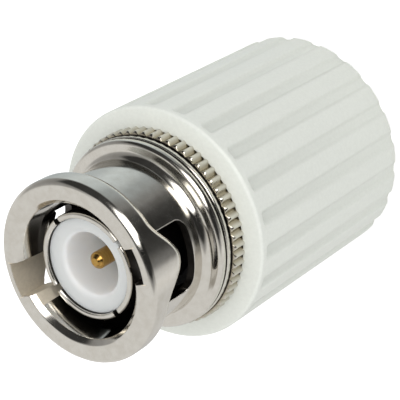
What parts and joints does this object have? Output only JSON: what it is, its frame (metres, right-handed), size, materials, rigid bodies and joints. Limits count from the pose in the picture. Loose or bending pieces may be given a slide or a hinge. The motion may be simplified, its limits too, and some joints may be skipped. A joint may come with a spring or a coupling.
{
  "type": "coaxial terminator",
  "caption": "Bayonet-lock coaxial plug with its load resistor inside a long ribbed moulded cover.",
  "frame": {"origin": "centre of the cover's flat rear end, on which the part stands", "axes": "+Z along the plug's axis towards its mating end; the coupling sleeve's two entry notches lie on X"},
  "size_m": [0.0192, 0.0192, 0.0304],
  "materials": {
    "cover_plastic": "pale grey-green moulded plastic, satin",
    "nickel": "bright nickel plate on brass",
    "spring_steel": "plain spring steel",
    "gold": "gold plate on brass",
    "ptfe": "white fluoropolymer, waxy",
    "silicone": "black silicone rubber",
    "resistor_lacquer": "lacquered ceramic",
    "tinned": "tinned metal and solder",
    "tube_plastic": "thin extruded tubing"
  },
  "bodies": {
    "shell": {"cover": "cover_plastic", "coupling_sleeve": "nickel", "wave_washer": "spring_steel"},
    "washer": {"thrust_washer": "spring_steel"},
    "plug": {"plug_body": "nickel", "outer_contact": "nickel", "gasket": "silicone", "insulator": "ptfe", "centre_pin": "gold", "rear_washer": "spring_steel", "retaining_ring": "spring_steel", "resistor_body": "resistor_lacquer", "resistor_cap_front": "tinned", "resistor_cap_rear": "tinned", "lead_front": "tinned", "lead_rear": "tinned", "insulating_tube": "tube_plastic", "ground_plug": "nickel", "solder_front": "tinned", "solder_rear": "tinned"}
  },
  "joints": [
    {"name": "spring_travel", "type": "slide", "parent": "shell", "child": "washer", "axis": [0, 0, 1], "range_m": [-0.0005, 0], "stiffness_N_per_m": 300, "springref_m": 0.002, "deforming": ["wave_washer"]},
    {"name": "plug_turn", "type": "hinge", "parent": "washer", "child": "plug", "pos_m": [0, 0, 0.0195], "axis": [0, 0, 1], "continuous": true}
  ]
}
